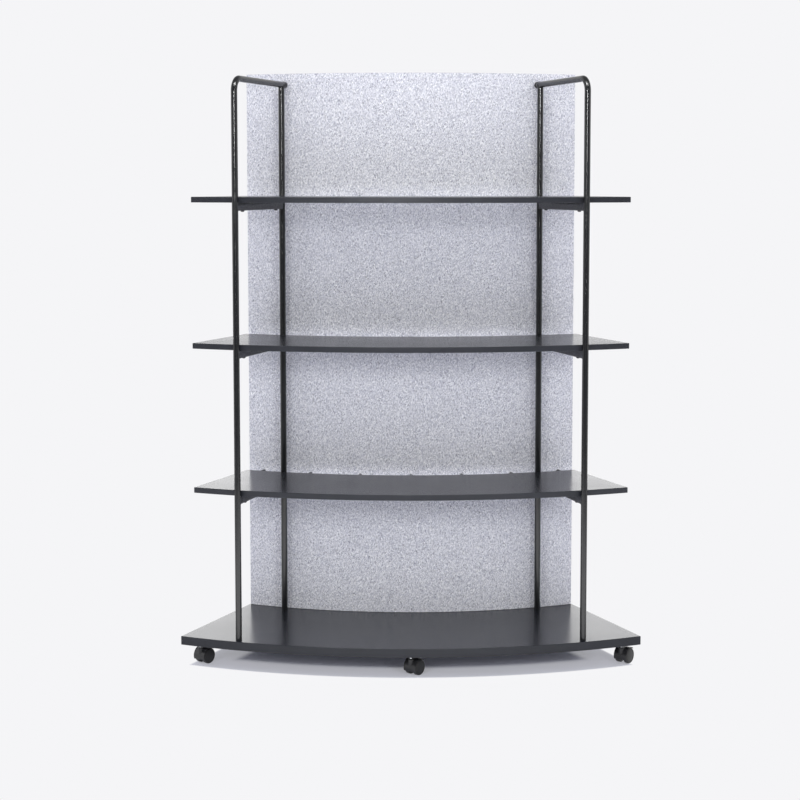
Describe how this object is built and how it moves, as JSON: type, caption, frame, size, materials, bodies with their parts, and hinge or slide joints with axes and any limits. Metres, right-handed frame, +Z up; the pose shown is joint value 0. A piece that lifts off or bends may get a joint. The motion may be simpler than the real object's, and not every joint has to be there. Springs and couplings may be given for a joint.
{
  "type": "rolling shelving unit",
  "caption": "Curved shelving unit that rolls: ring-shaped shelves between bent tube frames on a deeper base board, a curved felt panel behind, and castors below.",
  "frame": {"origin": "on the floor, under the middle of the unit's outline", "axes": "+Z up, -Y towards the front, where the boards bulge out, +X to the viewer's right"},
  "size_m": [1.4758, 0.5892, 1.9073],
  "materials": {
    "board": "anthracite satin laminate on a pressed board, with matching edges",
    "tube": "anthracite satin powder coat on steel tube",
    "felt": "light grey mottled pressed polyester felt",
    "castor": "black moulded polyamide, satin",
    "plug": "black moulded polyethylene end plug",
    "stem": "bright zinc-plated steel"
  },
  "bodies": {
    "unit": {"base_board": "board", "felt_panel": "felt", "left_front_tube": "tube", "left_rear_post": "tube", "left_rail_plug": "plug", "left_low_support_bar": "tube", "left_middle_support_bar": "tube", "left_top_support_bar": "tube", "right_front_tube": "tube", "right_rear_post": "tube", "right_rail_plug": "plug", "right_low_support_bar": "tube", "right_middle_support_bar": "tube", "right_top_support_bar": "tube", "low_shelf": "board", "low_shelf_spacer_1": "tube", "low_shelf_spacer_2": "tube", "low_shelf_spacer_3": "tube", "low_shelf_spacer_4": "tube", "low_shelf_spacer_5": "tube", "low_shelf_spacer_6": "tube", "low_shelf_spacer_7": "tube", "middle_shelf": "board", "middle_shelf_spacer_1": "tube", "middle_shelf_spacer_2": "tube", "middle_shelf_spacer_3": "tube", "middle_shelf_spacer_4": "tube", "middle_shelf_spacer_5": "tube", "middle_shelf_spacer_6": "tube", "middle_shelf_spacer_7": "tube", "top_shelf": "board", "top_shelf_spacer_1": "tube", "top_shelf_spacer_2": "tube", "top_shelf_spacer_3": "tube", "top_shelf_spacer_4": "tube", "top_shelf_spacer_5": "tube", "top_shelf_spacer_6": "tube", "top_shelf_spacer_7": "tube", "front_left_castor_stem": "stem", "front_middle_castor_stem": "stem", "front_right_castor_stem": "stem", "rear_left_castor_stem": "stem", "rear_right_castor_stem": "stem"},
    "front_left_castor": {"front_left_castor_hood": "castor"},
    "front_left_left_wheel": {"front_left_castor_left_wheel": "castor"},
    "front_left_right_wheel": {"front_left_castor_right_wheel": "castor"},
    "front_middle_castor": {"front_middle_castor_hood": "castor"},
    "front_middle_left_wheel": {"front_middle_castor_left_wheel": "castor"},
    "front_middle_right_wheel": {"front_middle_castor_right_wheel": "castor"},
    "front_right_castor": {"front_right_castor_hood": "castor"},
    "front_right_left_wheel": {"front_right_castor_left_wheel": "castor"},
    "front_right_right_wheel": {"front_right_castor_right_wheel": "castor"},
    "rear_left_castor": {"rear_left_castor_hood": "castor"},
    "rear_left_left_wheel": {"rear_left_castor_left_wheel": "castor"},
    "rear_left_right_wheel": {"rear_left_castor_right_wheel": "castor"},
    "rear_right_castor": {"rear_right_castor_hood": "castor"},
    "rear_right_left_wheel": {"rear_right_castor_left_wheel": "castor"},
    "rear_right_right_wheel": {"rear_right_castor_right_wheel": "castor"}
  },
  "joints": [
    {"name": "front_left_castor_swivel", "type": "hinge", "parent": "unit", "child": "front_left_castor", "pos_m": [-0.67848, -0.11719, 0.069], "axis": [0, 0, 1], "continuous": true},
    {"name": "front_left_left_wheel_spin", "type": "hinge", "parent": "front_left_castor", "child": "front_left_left_wheel", "pos_m": [-0.66645, -0.10121, 0.025], "axis": [-0.7986, 0.6018, 0], "continuous": true},
    {"name": "front_left_right_wheel_spin", "type": "hinge", "parent": "front_left_castor", "child": "front_left_right_wheel", "pos_m": [-0.66645, -0.10121, 0.025], "axis": [-0.7986, 0.6018, 0], "continuous": true},
    {"name": "front_middle_castor_swivel", "type": "hinge", "parent": "unit", "child": "front_middle_castor", "pos_m": [0, -0.24956, 0.069], "axis": [0, 0, 1], "continuous": true},
    {"name": "front_middle_left_wheel_spin", "type": "hinge", "parent": "front_middle_castor", "child": "front_middle_left_wheel", "pos_m": [0.01204, -0.23359, 0.025], "axis": [-0.7986, 0.6018, 0], "continuous": true},
    {"name": "front_middle_right_wheel_spin", "type": "hinge", "parent": "front_middle_castor", "child": "front_middle_right_wheel", "pos_m": [0.01204, -0.23359, 0.025], "axis": [-0.7986, 0.6018, 0], "continuous": true},
    {"name": "front_right_castor_swivel", "type": "hinge", "parent": "unit", "child": "front_right_castor", "pos_m": [0.67848, -0.11719, 0.069], "axis": [0, 0, 1], "continuous": true},
    {"name": "front_right_left_wheel_spin", "type": "hinge", "parent": "front_right_castor", "child": "front_right_left_wheel", "pos_m": [0.69052, -0.10121, 0.025], "axis": [-0.7986, 0.6018, 0], "continuous": true},
    {"name": "front_right_right_wheel_spin", "type": "hinge", "parent": "front_right_castor", "child": "front_right_right_wheel", "pos_m": [0.69052, -0.10121, 0.025], "axis": [-0.7986, 0.6018, 0], "continuous": true},
    {"name": "rear_left_castor_swivel", "type": "hinge", "parent": "unit", "child": "rear_left_castor", "pos_m": [-0.52485, 0.236, 0.069], "axis": [0, 0, 1], "continuous": true},
    {"name": "rear_left_left_wheel_spin", "type": "hinge", "parent": "rear_left_castor", "child": "rear_left_left_wheel", "pos_m": [-0.51282, 0.25197, 0.025], "axis": [-0.7986, 0.6018, 0], "continuous": true},
    {"name": "rear_left_right_wheel_spin", "type": "hinge", "parent": "rear_left_castor", "child": "rear_left_right_wheel", "pos_m": [-0.51282, 0.25197, 0.025], "axis": [-0.7986, 0.6018, 0], "continuous": true},
    {"name": "rear_right_castor_swivel", "type": "hinge", "parent": "unit", "child": "rear_right_castor", "pos_m": [0.52485, 0.236, 0.069], "axis": [0, 0, 1], "continuous": true},
    {"name": "rear_right_left_wheel_spin", "type": "hinge", "parent": "rear_right_castor", "child": "rear_right_left_wheel", "pos_m": [0.53689, 0.25197, 0.025], "axis": [-0.7986, 0.6018, 0], "continuous": true},
    {"name": "rear_right_right_wheel_spin", "type": "hinge", "parent": "rear_right_castor", "child": "rear_right_right_wheel", "pos_m": [0.53689, 0.25197, 0.025], "axis": [-0.7986, 0.6018, 0], "continuous": true}
  ]
}
